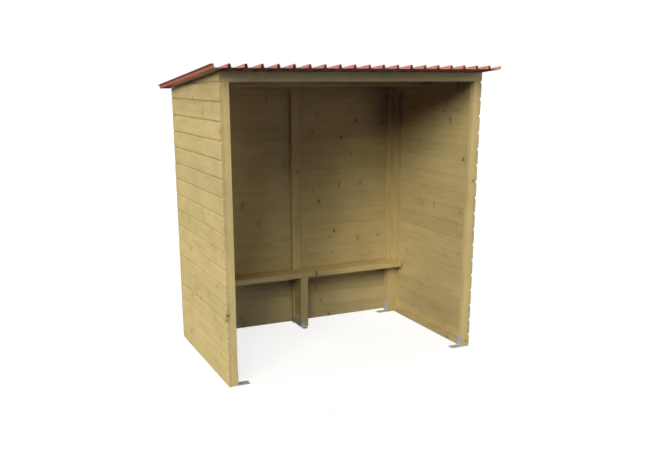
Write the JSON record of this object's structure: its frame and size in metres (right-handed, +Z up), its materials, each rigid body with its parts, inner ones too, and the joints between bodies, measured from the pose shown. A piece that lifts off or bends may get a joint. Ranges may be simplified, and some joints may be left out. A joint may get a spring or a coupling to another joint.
{
  "type": "bus shelter",
  "caption": "Open-front wooden bus shelter with shiplap-board walls, a plain bench along the back and a lean-to roof of ribbed sheet.",
  "frame": {"origin": "on the ground, under the middle of the bounding box", "axes": "+Z up, +Y from the open front to the back wall, +X to the right when looking in through the open front"},
  "size_m": [2.1406, 1.4014, 2.1632],
  "materials": {
    "wall_boards": "pressure-treated softwood, sawn",
    "framing": "pressure-treated softwood, planed",
    "bench": "pressure-treated softwood, planed",
    "roof_sheet": "satin",
    "bracket": "galvanised, dull"
  },
  "bodies": {
    "root": {"left_front_post": "framing", "left_rear_post": "framing", "right_front_post": "framing", "right_rear_post": "framing", "left_bottom_rail": "framing", "left_top_rail": "framing", "right_bottom_rail": "framing", "right_top_rail": "framing", "left_wall_boards": "wall_boards", "right_wall_boards": "wall_boards", "back_wall_boards": "wall_boards", "back_left_stud": "framing", "back_middle_stud": "framing", "back_right_stud": "framing", "back_left_top_rail": "framing", "back_right_top_rail": "framing", "front_lintel": "framing", "roof_purlin": "framing", "roof_sheet_left": "roof_sheet", "roof_sheet_right": "roof_sheet", "bench_seat": "bench", "bench_left_support": "bench", "bench_middle_support": "bench", "bench_right_support": "bench", "front_left_bracket": "bracket", "front_right_bracket": "bracket", "rear_left_bracket": "bracket", "rear_right_bracket": "bracket", "bench_bracket": "bracket", "bench_side_plate": "bracket"}
  },
  "joints": []
}
